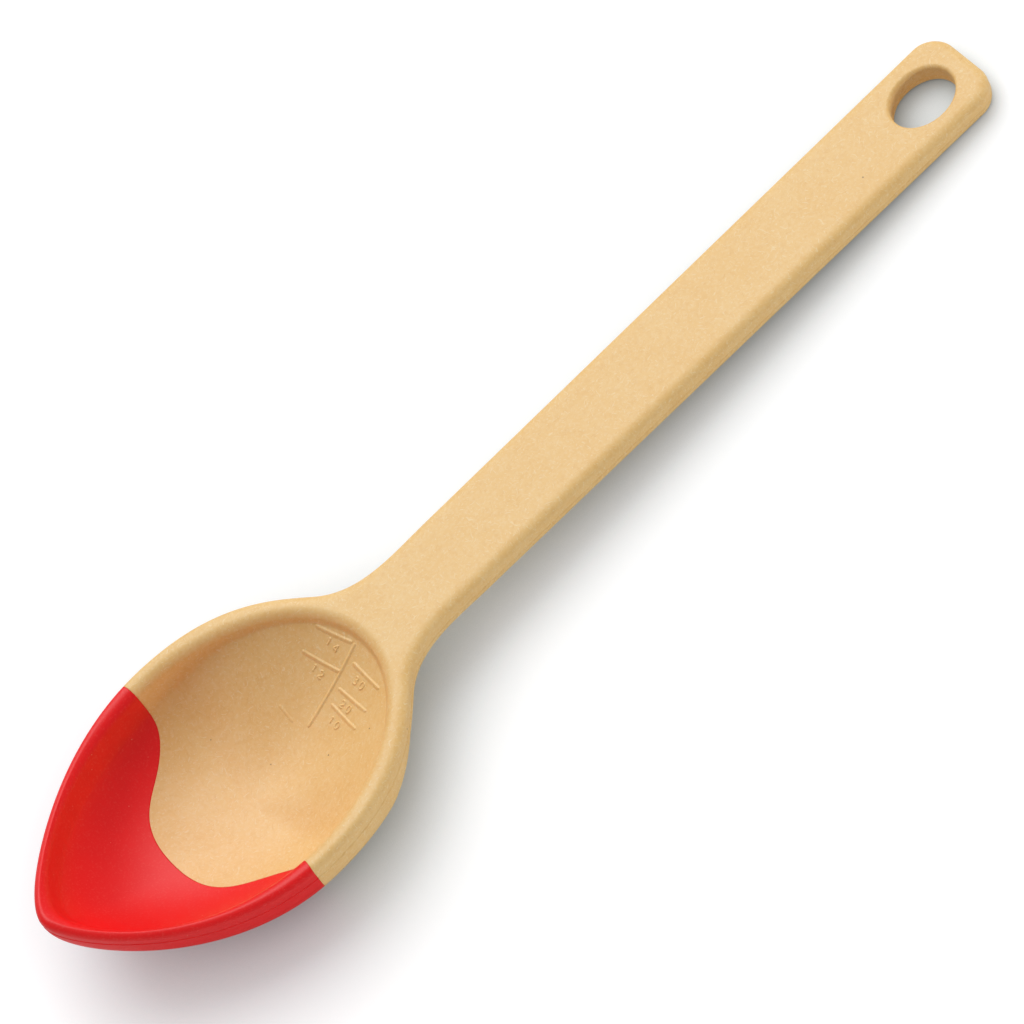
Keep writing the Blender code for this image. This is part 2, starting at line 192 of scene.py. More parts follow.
# left half of the outline seen from above, from the tip to the middle of the handle's end
def halfOutline():
    s, f = spoonShape, meshSteps
    widest = vec(s["widestAt"], s["bowlHalfWidth"])
    neck = vec(neckAt(), s["neckHalfWidth"])
    neckWay = vec(math.cos(s["neckAngle"]), -math.sin(s["neckAngle"]))
    handle = vec(handleFrom(), s["handleHalfWidthFront"])
    radius = s["endCornerRadius"]
    corner = vec(s["length"] - radius, s["handleHalfWidthEnd"] - radius)
    end = vec(s["length"], 0)
    around = np.linspace(math.pi / 2, 0, f["corner"], endpoint=False)
    beforeWidest = widest - vec(s["sideFullness"], 0)
    afterWidest = widest + vec(s["shoulderReach"], 0)
    beforeNeck = neck - s["neckCurveIn"] * neckWay
    afterNeck = neck + s["neckCurveOut"] * neckWay
    beforeHandle = handle - vec(s["handleCurveIn"], 0)
    return np.concatenate([
        curve(vec(0, 0), vec(0, s["tipBluntness"]), beforeWidest, widest, f["tipToWidest"]),
        curve(widest, afterWidest, beforeNeck, neck, f["widestToNeck"]),
        curve(neck, afterNeck, beforeHandle, handle, f["neckToHandle"]),
        straight(handle, padStart(), f["straight"]),
        straight(padStart(), corner + vec(0, radius), f["pad"]),
        corner + radius * np.stack([np.cos(around), np.sin(around)], 1),
        straight(corner + vec(radius, 0), end, f["end"]),
        end[None],
    ])


# unit normals of a half outline, pointing into the spoon
def inward(points):
    ways = np.gradient(points, axis=0)
    ways /= np.linalg.norm(ways, axis=1)[:, None]
    normals = np.stack([ways[:, 1], -ways[:, 0]], 1)
    normals[0] = (1, 0)
    normals[-1] = (-1, 0)
    return normals


def halfOval(front, halfWidth, back, bluntness, fullness, shoulder, backFullness, backSteps):
    widest = vec(spoonShape["widestAt"], halfWidth)
    middleFront, middleBack = vec(front, 0), vec(back, 0)
    beforeWidest = widest - vec(fullness, 0)
    afterWidest = widest + vec(shoulder, 0)
    return np.concatenate([
        curve(middleFront, vec(front, bluntness), beforeWidest, widest, meshSteps["tipToWidest"]),
        curve(widest, afterWidest, vec(back, backFullness), middleBack, backSteps),
        middleBack[None],
    ])


def hollowOval(backSteps):
    h = hollowShape
    halfWidth = spoonShape["bowlHalfWidth"] - h["rimWidthSide"]
    back = neckAt() + h["backBehindNeck"]
    sizes = (h["tipBluntness"], h["sideFullness"], h["shoulder"], h["backFullness"])
    return halfOval(h["rimWidthTip"], halfWidth, back, *sizes, backSteps)


def bellyOval(backSteps):
    s, b = spoonShape, bellyShape
    back = neckAt() + hollowShape["backBehindNeck"] + b["backBehindHollow"]
    sizes = (s["tipBluntness"], s["sideFullness"], b["shoulder"], b["backFullness"])
    return halfOval(0, s["bowlHalfWidth"], back, *sizes, backSteps)


def bowlCentre():
    return vec(spoonShape["widestAt"] - spoonShape["centreBeforeWidest"], 0)


# distance from the bowl's centre, and the angle from the direction of the tip
def polar(x, y):
    out = x - bowlCentre()[0]
    return np.hypot(out, y), np.arctan2(np.abs(y), -out)


def reachTable(oval):
    distance, angle = polar(oval[:, 0], oval[:, 1])
    order = np.argsort(angle)
    return angle[order], distance[order]


hollowReach = reachTable(hollowOval(meshSteps["ovalTable"]))
bellyReach = reachTable(bellyOval(meshSteps["ovalTable"]))


def rimHeight(x):
    share = np.maximum(spoonShape["widestAt"] - x, 0) / spoonShape["widestAt"]
    return spoonShape["rimRiseEarly"] * share**2 + spoonShape["rimRiseLate"] * share**3


# 0 at the bowl's front and sides, rising to 1 towards the handle
def backness(distance, angle, shape):
    starts, full = math.cos(shape["rampStarts"]), math.cos(shape["rampFull"])
    share = np.clip((starts - np.cos(angle)) / (starts - full), 0, 1) * (distance > 0)
    return share * share * (3 - 2 * share)


# share of the full depth under the belly's straight slope up to the handle
def rampProfile(ratio, shape):
    slope = (ratio - shape["rampFloorShare"]) / (1 - shape["rampFloorShare"])
    return 1 - smoothMax(0, slope, shape["rampBlend"])


# share of the full depth on a steep side that rounds into a flat floor
def sideProfile(ratio, shape):
    return np.clip(1 - ratio ** shape["sidePower"], 0, None) ** (1 / shape["sideRoot"])


# the top drops from the rim over a round lip and a steep wall, then follows the round of the bowl
def topHeight(x, y):
    h = hollowShape
    distance, angle = polar(x, y)
    reach = np.interp(angle, *hollowReach)
    ratio = np.minimum(distance / reach, 1)
    back = backness(distance, angle, h)
    side = sideProfile(ratio / h["bowlGrowth"], h)
    ramp = 1 - (ratio / h["rampGrowth"]) ** h["rampPower"]
    bowl = h["depth"] * ((1 - back) * side + back * ramp)
    lip, steep = h["lipRadius"], h["wallAngle"]
    onLip = np.clip(lip * math.sin(steep) + reach - distance, 0, lip * math.sin(steep))
    wall = lip - np.sqrt(lip * lip - onLip * onLip) + math.tan(steep) * np.maximum(reach - distance, 0)
    return rimHeight(x) + np.minimum(smoothMax(-wall, -bowl, h["wallBlend"]), 0)


# underside, where inset is the distance in from the outline
def bottomHeight(x, y, inset):
    s, b = spoonShape, bellyShape
    distance, angle = polar(x, y)
    ratio = distance / np.interp(angle, *bellyReach)
    back = backness(distance, angle, b)
    profile = (1 - back) * sideProfile(ratio, b) + back * np.maximum(rampProfile(ratio, b), 0)
    belly = (hollowShape["depth"] + b["floorWall"] - s["partingDepth"]) * profile
    outsideRound = np.clip(1 - inset / s["bottomEdgeRadius"], 0, 1)
    edge = (s["thickness"] - s["partingDepth"]) * np.sqrt(1 - outsideRound**2)
    return rimHeight(x) - s["partingDepth"] - smoothMax(edge, belly, b["edgeBlend"])


def raised(plan, height):
    height = np.broadcast_to(height, plan.shape[:-1])
    return np.concatenate([plan, height[..., None]], -1)


def onTop(plan):
    return raised(plan, topHeight(plan[..., 0], plan[..., 1]))


def onBottom(plan):
    height = bottomHeight(plan[..., 0], plan[..., 1], spoonShape["bottomEdgeRadius"])
    return raised(plan, height)


# how far the mould's line stands out of the edge, by the height above that line
def lineProud(above):
    p = partingLine
    ridge = p["proud"] * np.exp(-((above / p["reach"]) ** 2))
    crease = p["crease"] * np.exp(-(((above - p["creaseAbove"]) / p["creaseReach"]) ** 2))
    return ridge - crease


# heights of the edge's rows above the parting line, from its top down to the line
def sideRows(top):
    near = vec(*partingLine["rowsAbove"])
    return np.concatenate([np.linspace(top, near[0], meshSteps["upperSide"])[1:-1], near])


# how far in from the outline the round of the top edge begins: further along the handle
def topEdgeReach(x):
    s = spoonShape
    start, end = s["topEdgeWidens"]
    share = np.clip((x - start) / (end - start), 0, 1)
    eased = share * share * (3 - 2 * share)
    return s["topEdgeRadius"] + (s["topEdgeReach"] - s["topEdgeRadius"]) * eased


# rows down the spoon's edge, from its flat top to its flat underside
def edgePatch(outline, normals):
    s, f = spoonShape, meshSteps
    reach = topEdgeReach(outline[:, 0])
    innerTop = outline + normals * reach[:, None]
    height = topHeight(innerTop[:, 0], innerTop[:, 1])
    lineHeight = rimHeight(outline[:, 0]) - s["partingDepth"]
    rows = []
    for angle in np.linspace(math.pi / 2, 0, f["topRound"] + 1):
        inset = reach * (1 - math.cos(angle)) + partingLine["proud"] * math.cos(angle)
        drop = s["topEdgeRadius"] * (1 - math.sin(angle))
        rows.append(raised(outline + normals * inset[:, None], height - drop))
    sideTop = height - s["topEdgeRadius"] - lineHeight
    spots = sideRows(s["partingDepth"] - s["topEdgeRadius"])
    for above in spots:
        far = above > partingLine["rowsAbove"][0]
        above = sideTop * above / spots[0] if far else np.minimum(above, sideTop)
        place = outline + normals * np.reshape(partingLine["proud"] - lineProud(above), (-1, 1))
        rows.append(raised(place, lineHeight + above))
    for step in range(1, f["bottomRound"] + 1):
        inset = s["bottomEdgeRadius"] * (step / f["bottomRound"]) ** 3
        inner = outline + normals * inset
        low = bottomHeight(inner[:, 0], inner[:, 1], inset)
        back = partingLine["proud"] * (1 - inset / s["bottomEdgeRadius"])
        place = inner + normals * (back - lineProud(low - lineHeight))[:, None]
        rows.append(raised(place, low))
    rows[-1] = onBottom(outline + normals * s["bottomEdgeRadius"])
    return np.stack(rows)


# points from just inside the edge to the middle, where the row may have run on a little
def crossing(start, runOn=0.0):
    middle = vec(start[0] + runOn, 0)
    return np.concatenate([straight(start, middle, meshSteps["crossing"]), middle[None]])


# rings that shrink from the edge of the bowl to its centre, above and below
def bowlPatches(tops, bottoms, neckRow):
    f, centre = meshSteps, bowlCentre()
    topRing = np.concatenate([tops[:neckRow], crossing(tops[neckRow], behindBowl)])
    bottomRing = np.concatenate([bottoms[:neckRow], crossing(bottoms[neckRow], behindBowl)])
    backSteps = len(topRing) - 1 - f["tipToWidest"]
    oval = hollowOval(backSteps)
    landShares = 1 - (1 - np.arange(f["land"] + 1) / f["land"]) ** 2
    rows = [topRing + share * (oval - topRing) for share in landShares]
    turns = np.arange(1, f["rings"] + 1) / f["rings"] * math.pi / 2
    ratios = np.cos(turns) ** (2 / hollowShape["sidePower"])
    ratios[-1] = 0
    rows += [centre + ratio * (oval - centre) for ratio in ratios]
    b = bellyShape
    firstRing = centre + b["firstRing"] * (bellyOval(backSteps) - centre)
    bellyRows = [bottomRing + share * (firstRing - bottomRing) for share in landShares]
    steps = np.arange(1, f["bellyRings"] + 1) / f["bellyRings"]
    bellyRows += [centre + (1 - step ** b["ringPower"]) * (firstRing - centre) for step in steps]
    return [onTop(np.stack(rows)), onBottom(np.stack(bellyRows))]


def handlePatches(tops, bottoms, neckRow, padRow):
    sheets = []
    for edge in (tops, bottoms):
        rows = []
        for row in range(padRow + 1 - neckRow):
            left = max(1 - row / meshSteps["neckToHandle"], 0)
            rows.append(crossing(edge[neckRow + row], behindBowl * left * left))
        sheets.append(np.stack(rows))
    return [onTop(sheets[0]), onBottom(sheets[1])]


# end of the handle, with the oval hanging hole and its rounded mouths
def padPatch(tops, bottoms, padRow):
    s, h, f = spoonShape, hangingHole, meshSteps
    topRing = np.concatenate([crossing(tops[padRow])[::-1], tops[padRow + 1 :]])
    bottomRing = np.concatenate([crossing(bottoms[padRow])[::-1], bottoms[padRow + 1 :]])
    middle = vec(holeMiddle(), 0)
    way = (topRing - middle) / vec(h["halfLength"], h["halfWidth"])
    ways = np.arctan2(way[:, 1], way[:, 0])
    ways[0], ways[-1] = math.pi, 0

    def holeRow(flare, height):
        x = middle[0] + (h["halfLength"] + flare) * np.cos(ways)
        y = (h["halfWidth"] + flare) * np.sin(ways)
        y[0] = y[-1] = 0
        return raised(np.stack([x, y], 1), height)

    shares = np.sin(np.arange(f["padRows"]) / f["padRows"] * math.pi / 2) ** 2
    mouth = holeRow(h["topRadius"], 0)
    rows = [onTop(topRing) * (1 - share) + mouth * share for share in shares]
    for angle in np.linspace(0, math.pi / 2, f["holeRound"] + 1):
        flare = h["topRadius"] * (1 - math.sin(angle))
        rows.append(holeRow(flare, h["topRadius"] * (math.cos(angle) - 1)))
    lineTop = s["partingDepth"] - h["topRadius"]
    wallRows = [above for above in sideRows(lineTop) if above < lineTop]
    for above in (*wallRows, *partingLine["rowsBelow"]):
        rows.append(holeRow(-float(lineProud(above)), above - s["partingDepth"]))
    for angle in np.linspace(0, math.pi / 2, f["holeRound"] + 1):
        flare = h["bottomRadius"] * (1 - math.cos(angle))
        rows.append(holeRow(flare, h["bottomRadius"] * (1 - math.sin(angle)) - s["thickness"]))
    lowMouth = rows[-1]
    rows += [lowMouth * share + onBottom(bottomRing) * (1 - share) for share in shares[:0:-1]]
    rows.append(onBottom(bottomRing))
    return np.stack(rows)


# the spoon's whole skin as points and faces: half patches, their mirror image, welded together
def spoonSkin():
    f = meshSteps
    outline = halfOutline()
    normals = inward(outline)
    neckRow = f["tipToWidest"] + f["widestToNeck"]
    padRow = neckRow + f["neckToHandle"] + f["straight"]
    tops = outline + normals * topEdgeReach(outline[:, 0])[:, None]
    bottoms = outline + normals * spoonShape["bottomEdgeRadius"]
    hollow, belly = bowlPatches(tops, bottoms, neckRow)
    handleTop, handleUnder = handlePatches(tops, bottoms, neckRow, padRow)
    # each patch with the way round that turns its faces outwards
    patches = [(edgePatch(outline, normals), 1), (padPatch(tops, bottoms, padRow), -1)]
    patches += [(hollow, -1), (belly, 1), (handleTop, 1), (handleUnder, -1)]
    points, faces, count = [], [], 0
    for side in (1, -1):
        for patch, wayRound in patches:
            rows, columns = patch.shape[:2]
            grid = np.arange(rows * columns).reshape(rows, columns) + count
            quads = np.stack([grid[:-1, :-1], grid[:-1, 1:], grid[1:, 1:], grid[1:, :-1]], -1)
            faces.append(quads.reshape(-1, 4)[:, :: side * wayRound])
            points.append(patch.reshape(-1, 3) * (1, side, 1))
            count += rows * columns
    return weld(np.concatenate(points), np.concatenate(faces))


def weld(points, faces):
    cells = np.round(points / weldMm).astype(np.int64)
    _, first, same = np.unique(cells, axis=0, return_index=True, return_inverse=True)
    same = same.reshape(-1)
    loops = []
    for face in same[faces]:
        loop = [int(v) for k, v in enumerate(face) if v != face[k - 1]]
        if len(set(loop)) > 2:
            loops.append(loop)
    return points[first], loops


print("spoon skin shaped")

# Joint between the body and the soft tip, seen from above
jointShape = {
    "beforeWidest": 4.6,
    "rimSlant": math.radians(12),
    "rimCurve": 8.5,
    "turnBeforeRim": 5.0,
    "turnFromEdge": 14.6,
    "turnAngle": math.radians(40),
    "turnCurveIn": 11.0,
    "turnCurveOut": 6.0,
    "lobeBeforeTurn": 17.7,
    "lobeRoundness": 17.0,
    "lobeSteps": 60,
    "rimSteps": 40,
    "tipRound": 0.2,
    "bodyRound": 0.1,
    "near": 4.0,
    # distances behind the joint at which the skin gets new rows, so that its edges can roll over
    "cuts": (0, 0.03, 0.1, 0.4, -0.05, -0.12, -0.2, -0.5),
}


def halfJointLine():
    j, s = jointShape, spoonShape
    rim = vec(s["widestAt"] - j["beforeWidest"], s["bowlHalfWidth"])
    turn = rim - vec(j["turnBeforeRim"], j["turnFromEdge"])
    turnWay = vec(math.cos(j["turnAngle"]), math.sin(j["turnAngle"]))
    front = vec(turn[0] - j["lobeBeforeTurn"], 0)
    beforeTurn = turn - j["turnCurveIn"] * turnWay
    afterTurn = turn + j["turnCurveOut"] * turnWay
    rimWay = vec(math.sin(j["rimSlant"]), -math.cos(j["rimSlant"]))
    return np.concatenate([
        curve(front, front + vec(0, j["lobeRoundness"]), beforeTurn, turn, j["lobeSteps"]),
        curve(turn, afterTurn, rim + j["rimCurve"] * rimWay, rim, j["rimSteps"]),
        np.stack([rim, rim + vec(0, s["bowlHalfWidth"])]),
    ])


# distance from the joint line in plan: above 0 on the body's side, below 0 on the tip's side
def behindJoint(points):
    line = halfJointLine()
    plan = np.stack([points[:, 0], np.abs(points[:, 1])], 1)
    side = np.where(points[:, 0] > np.interp(plan[:, 1], line[:, 1], line[:, 0]), 1.0, -1.0)
    starts, ways = line[:-1], np.diff(line, axis=0)
    lengths = (ways**2).sum(1)
    nearest = np.full(len(plan), jointShape["near"])
    low, high = line[:, 0].min() - nearest[0], line[:, 0].max() + nearest[0]
    close = np.flatnonzero((plan[:, 0] > low) & (plan[:, 0] < high))
    for start, way, length in zip(starts, ways, lengths):
        along = np.clip((plan[close] - start) @ way / length, 0, 1)
        gap = np.linalg.norm(plan[close] - start - along[:, None] * way, axis=1)
        nearest[close] = np.minimum(nearest[close], gap)
    return side * nearest


# every face that the level crosses becomes two, which share new points on it
def cutAlong(points, faces, behind, level):
    made, added = {}, []

    def crossingPoint(a, b):
        key = (min(a, b), max(a, b))
        if key not in made:
            made[key] = len(points) + len(added)
            share = (level - behind[a]) / (behind[b] - behind[a])
            added.append(points[a] + share * (points[b] - points[a]))
        return made[key]

    over = behind > level
    kept = []
    for face in faces:
        count = sum(over[v] for v in face)
        if count in (0, len(face)):
            kept.append(face)
            continue
        for side in (True, False):
            loop = []
            for a, b in zip(face, face[1:] + face[:1]):
                if over[a] == side:
                    loop.append(a)
                if over[a] != over[b]:
                    loop.append(crossingPoint(a, b))
            kept.append(loop)
    behind = np.concatenate([behind, np.full(len(added), level)])
    return np.concatenate([points, np.array(added).reshape(-1, 3)]), kept, behind


def makeMesh(name, points, faces):
    mesh = bpy.data.meshes.new(name)
    mesh.from_pydata([tuple(point) for point in points], [], faces)
    shaped = bmesh.new()
    shaped.from_mesh(mesh)
    bmesh.ops.recalc_face_normals(shaped, faces=shaped.faces)
    shaped.to_mesh(mesh)
    shaped.free()
    mesh.shade_smooth()
    made = bpy.data.objects.new(name, mesh)
    bpy.context.scene.collection.objects.link(made)
    return made


# even normals at the points, from the turn of each face about its own corners
def pointNormals(points, faces):
    normals = np.zeros_like(points)
    for face in faces:
        corners = points[face]
        if len(face) > 3:
            turn = np.cross(corners[2] - corners[0], corners[3] - corners[1])
        else:
            turn = np.cross(corners[1] - corners[0], corners[2] - corners[0])
        normals[face] += turn
    return normals / np.maximum(np.linalg.norm(normals, axis=1), 1e-12)[:, None]


# one side of the cut skin, its edge rolled over and its joint face closed
def jointedPiece(points, faces, behind, normals, side):
    own = [face for face in faces if all(side * behind[v] >= 0 for v in face)]
    used = np.unique(np.concatenate([np.array(face) for face in own]))
    index = np.full(len(points), -1)
    index[used] = np.arange(len(used))
    own = [[int(index[v]) for v in face] for face in own]
    radius = jointShape["bodyRound"] if side > 0 else jointShape["tipRound"]
    left = np.clip(radius - np.abs(behind[used]), 0, radius)
    sunk = radius - np.sqrt(radius * radius - left * left)
    place = points[used] - normals[used] * sunk[:, None]
    return place, own + jointFace(place, own)


# strip that closes a piece across its open joint, from its upper edge to its lower edge
def jointFace(points, faces):
    after = {}
    pairs = set()
    for face in faces:
        for a, b in zip(face, face[1:] + face[:1]):
            pairs.add((a, b))
    for a, b in pairs:
        if (b, a) not in pairs:
            after[b] = a
    start = max(after, key=lambda v: (round(points[v][1], 6), points[v][2]))
    loop = [start]
    while after[loop[-1]] != start:
        loop.append(after[loop[-1]])
    far = min(range(len(loop)), key=lambda k: points[loop[k]][1])
    one = loop[: far + 1]
    two = [start, *loop[: far - 1 : -1]]
    made, i, k = [], 0, 0
    while i < len(one) - 1 or k < len(two) - 1:
        nextOne = points[one[i + 1]][1] if i < len(one) - 1 else -math.inf
        nextTwo = points[two[k + 1]][1] if k < len(two) - 1 else -math.inf
        if nextOne >= nextTwo:
            face = [one[i], one[i + 1], two[k]]
            i += 1
        else:
            face = [one[i], two[k + 1], two[k]]
            k += 1
        if len(set(face)) == 3:
            made.append(face)
    return made


# turns the laid-out spoon until its bowl and its handle's end touch the table, and centres it
def restPose(points):
    tilt = 0.0
    for _ in range(20):  # each turn comes closer, and a few are enough
        height = -points[:, 0] * math.sin(tilt) + points[:, 2] * math.cos(tilt)
        forward = points[:, 0] * math.cos(tilt) + points[:, 2] * math.sin(tilt)
        bowl = points[:, 0] < handleFrom()
        low = np.flatnonzero(bowl)[height[bowl].argmin()]
        end = np.flatnonzero(~bowl)[height[~bowl].argmin()]
        tilt += math.atan2(height[end] - height[low], forward[end] - forward[low])
    height = -points[:, 0] * math.sin(tilt) + points[:, 2] * math.cos(tilt)
    forward = points[:, 0] * math.cos(tilt) + points[:, 2] * math.sin(tilt)
    middle = (forward.min() + forward.max()) / 2
    return Matrix.Translation((-middle, 0, -height.min())) @ Matrix.Rotation(tilt, 4, "Y")


def layDown(made):
    made.data.transform(Matrix.Scale(metresPerMm, 4) @ pose)
    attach(made, "root")
    return made


skin, skinFaces = spoonSkin()
pose = restPose(skin)
behind = behindJoint(skin)
for level in jointShape["cuts"]:
    skin, skinFaces, behind = cutAlong(skin, skinFaces, behind, level)
skinNormals = pointNormals(skin, skinFaces)

bodyPoints, bodyFaces = jointedPiece(skin, skinFaces, behind, skinNormals, 1)
handleAndBowl = layDown(makeMesh("handleAndBowl", bodyPoints, bodyFaces))
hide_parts("spoon_body")

tipPoints, tipFaces = jointedPiece(skin, skinFaces, behind, skinNormals, -1)
softTip = layDown(makeMesh("softTip", tipPoints, tipFaces))
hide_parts("silicone_tip")
print("body and soft tip parted at the joint:", len(bodyFaces), len(tipFaces))

# Raised lines and numbers on the slope at the back of the bowl. Text reads across the spoon,
# its top towards the handle; each line is ((x, y) start, (x, y) end)
volumeMarks = {
    "lineWidth": 1.3,
    "lineHeight": 0.28,
    "centreLine": ((108.2, 2.2), (84.9, 0.7)),
    "leftLines": (((104.4, 14.1), (107.8, 2.9)), ((97.6, 13.7), (100.5, 1.7))),
    "rightLines": (
        ((104.3, 0.0), (103.8, -12.1)),
        ((97.3, -0.3), (97.6, -12.3)),
        ((93.2, -1.0), (92.6, -12.6)),
    ),
    "faintLine": ((83.9, 10.7), (83.3, 5.0)),
    "faintHeight": 0.12,
    "leftNumbers": (("14", (103.9, 7.6)), ("12", (96.7, 7.3))),
    "rightNumbers": (("30", (101.6, -5.0)), ("20", (95.1, -5.4)), ("10", (90.3, -5.2))),
    "numberHeight": 1.9,
    "numberWidth": 1.4,
    "numberGap": 1.15,
    "strokeWidth": 0.8,
    "strokeHeight": 0.25,
    "pointSpacing": 0.2,
    "endShares": (0.01, 0.06, 0.15, 0.3, 0.5, 0.75),
    "acrossPoints": 11,
    "edgeSunk": 0.01,
    "rootWidth": 0.5,
    "rootSunk": 0.15,
}


def arcPath(middle, reach, startDegrees, endDegrees, steps=14):
    turns = np.radians(np.linspace(startDegrees, endDegrees, steps))
    return np.stack([middle[0] + reach[0] * np.cos(turns), middle[1] + reach[1] * np.sin(turns)], 1)


# strokes of a digit from 0 to 4 in a box one wide and one high, its foot at 0
def digitStrokes(digit):
    if digit == "0":
        return [arcPath((0.5, 0.5), (0.46, 0.48), 90, 450, 30)]
    if digit == "1":
        return [vec((0.2, 0.76), (0.55, 0.98), (0.55, 0.02))]
    if digit == "2":
        bow = arcPath((0.48, 0.7), (0.44, 0.29), 165, -28)
        return [np.concatenate([bow, vec((0.04, 0.02), (0.98, 0.02))])]
    if digit == "3":
        upper = arcPath((0.45, 0.75), (0.42, 0.23), 150, -90)
        lower = arcPath((0.45, 0.27), (0.49, 0.26), 90, -150)
        return [np.concatenate([upper, lower[1:]])]
    return [vec((0.72, 0.02), (0.72, 0.98), (0.04, 0.32), (0.98, 0.32))]


# even points along a path, closer together at its two round ends
def evenPath(path, spacing, endReach):
    steps = np.linalg.norm(np.diff(path, axis=0), axis=1)
    travel = np.concatenate([[0], np.cumsum(steps)])
    total = travel[-1]
    ends = endReach * vec(*volumeMarks["endShares"])
    even = np.linspace(endReach, total - endReach, max(int(total / spacing), 2))
    spots = np.concatenate([ends, even, total - ends[::-1]])
    place = np.stack([np.interp(spots, travel, path[:, k]) for k in (0, 1)], 1)
    fromEnd = np.minimum(np.minimum(spots, total - spots) / endReach, 1)
    return place, np.sqrt(1 - (1 - fromEnd) ** 2)


# closed bead that lies on the hollow: a soft bell above the surface, its root just under it
def raisedStroke(path, width, height):
    m = volumeMarks
    place, fullness = evenPath(path, m["pointSpacing"], width / 2)
    ways = np.gradient(place, axis=0)
    ways /= np.linalg.norm(ways, axis=1)[:, None]
    normals = np.stack([-ways[:, 1], ways[:, 0]], 1)
    over = np.linspace(-1, 1, m["acrossPoints"])
    bell = height * np.cos(over * math.pi / 2) ** 2 - m["edgeSunk"]
    across = np.concatenate([over, [m["rootWidth"], -m["rootWidth"]]])
    lift = np.concatenate([bell, np.full(2, -m["rootSunk"])])
    rings = []
    for spot, normal, full in zip(place, normals, fullness):
        ring = onTop(spot + normal * (across * full * width / 2)[:, None])
        ring[:, 2] += lift * np.where(lift > 0, full, 1)
        rings.append(ring)
    points = np.concatenate(rings)
    count = len(across)
    faces = []
    for row in range(len(rings) - 1):
        for k in range(count):
            a, b = row * count + k, row * count + (k + 1) % count
            faces.append([a, b, b + count, a + count])
    faces.append(list(range(count)))
    faces.append([len(points) - 1 - k for k in range(count)])
    return points, faces


def joinStrokes(name, strokes):
    points, faces, count = [], [], 0
    for strokePoints, strokeFaces in strokes:
        points.append(strokePoints)
        faces += [[v + count for v in face] for face in strokeFaces]
        count += len(strokePoints)
    made = layDown(makeMesh(name, np.concatenate(points), faces))
    return made


def markLines():
    m = volumeMarks
    strokes = []
    for line in (m["centreLine"], *m["leftLines"], *m["rightLines"]):
        strokes.append(raisedStroke(np.array(line, float), m["lineWidth"], m["lineHeight"]))
    strokes.append(raisedStroke(np.array(m["faintLine"], float), m["lineWidth"], m["faintHeight"]))
    return joinStrokes("volumeLines", strokes)


def markNumbers():
    m = volumeMarks
    strokes = []
    for text, middle in (*m["leftNumbers"], *m["rightNumbers"]):
        pitch = m["numberWidth"] + m["numberGap"]
        for place, digit in enumerate(text):
            start = middle[1] + (len(text) * pitch - m["numberGap"]) / 2 - place * pitch
            for stroke in digitStrokes(digit):
                x = middle[0] + (stroke[:, 1] - 0.5) * m["numberHeight"]
                y = start - stroke[:, 0] * m["numberWidth"]
                strokes.append(raisedStroke(np.stack([x, y], 1), m["strokeWidth"], m["strokeHeight"]))
    return joinStrokes("volumeNumbers", strokes)


volumeLines = markLines()
volumeNumbers = markNumbers()
print("volume marks raised in the bowl")

# Beige moulded plastic with fine wood fibre in it
woodFibre = {
    "base": (0.865, 0.545, 0.195),
    "cloud": (0.88, 0.575, 0.225),
    "pale": (0.97, 0.77, 0.46),
    "brown": (0.76, 0.41, 0.11),
    "speck": (0.25, 0.12, 0.05),
    "cloudSize": 9.0,
    "cloudBand": (0.3, 0.7),
    # each mottle: its colour, shift, size in mm, where it begins, strength
    "mottles": (("pale", 11.0, 0.9, 0.42, 0.2), ("brown", 13.0, 1.7, 0.48, 0.2)),
    "mottleFull": 0.7,
    # each layer of fibres: shift, then size of a cell, length and width in mm, and strength
    "paleFibres": (
        (17.0, 2.3, 2.4, 0.30, 0.5),
        (29.0, 1.7, 1.9, 0.26, 0.45),
        (41.0, 1.2, 1.3, 0.22, 0.4),
    ),
    "brownFibres": ((53.0, 2.4, 2.0, 0.28, 0.35), (61.0, 1.6, 1.3, 0.24, 0.3)),
    "fibreHeight": 0.4,
    "fibreBend": 0.9,
    "fibreProud": 0.8,
    "fibreSoftFrom": (0.7, 0.4),  # share of its half length and half width inside which a fibre is full
    # shift, size of a cell and radius in mm, share of the cells that have one
    "specks": (71.0, 6.0, 0.32, 0.25),
    "speckStrength": 0.75,
    "grainSize": 0.35,
    "grainRoughness": 0.12,
    "roughness": 0.5,
    "specular": 0.75,
    "bumpMm": 0.02,
}
# Red silicone, smooth and satin
redSilicone = {
    "base": (0.91, 0.006, 0.007),
    "deep": (0.87, 0.004, 0.006),
    "bloom": (0.92, 0.05, 0.045),
    "fleck": (0.97, 0.32, 0.24),
    "cloudSize": 16.0,
    "cloudBand": (0.2, 0.8),
    "bloomSize": 0.6,
    "bloomBand": (0.5, 0.72),
    "bloomStrength": 0.45,
    # shift, size of a cell and radius in mm, share of the cells that have one
    "flecks": (13.0, 3.2, 0.2, 0.3),
    "fleckStrength": 0.6,
    "grainSize": 0.3,
    "grainRoughness": 0.1,
    "specular": 0.45,
    "roughness": 0.42,
    "bumpMm": 0.006,
}


def newMaterial(name):
    material = bpy.data.materials.new(name)
    material.use_nodes = True
    tree = material.node_tree
    return material, tree, tree.nodes["Principled BSDF"]


# value, vector or socket into an input
def feed(tree, socket, value):
    if isinstance(value, bpy.types.NodeSocket):
        tree.links.new(value, socket)
    else:
        socket.default_value = value


def calc(tree, operation, *values):
    node = tree.nodes.new("ShaderNodeMath")
    node.operation = operation
    for socket, value in zip(node.inputs, values):
        feed(tree, socket, value)
    return node.outputs[0]


def vectorCalc(tree, operation, *values):
    node = tree.nodes.new("ShaderNodeVectorMath")
    node.operation = operation
    for socket, value in zip(node.inputs, values):
        feed(tree, socket, value)
    return node.outputs["Value" if operation == "DOT_PRODUCT" else "Vector"]


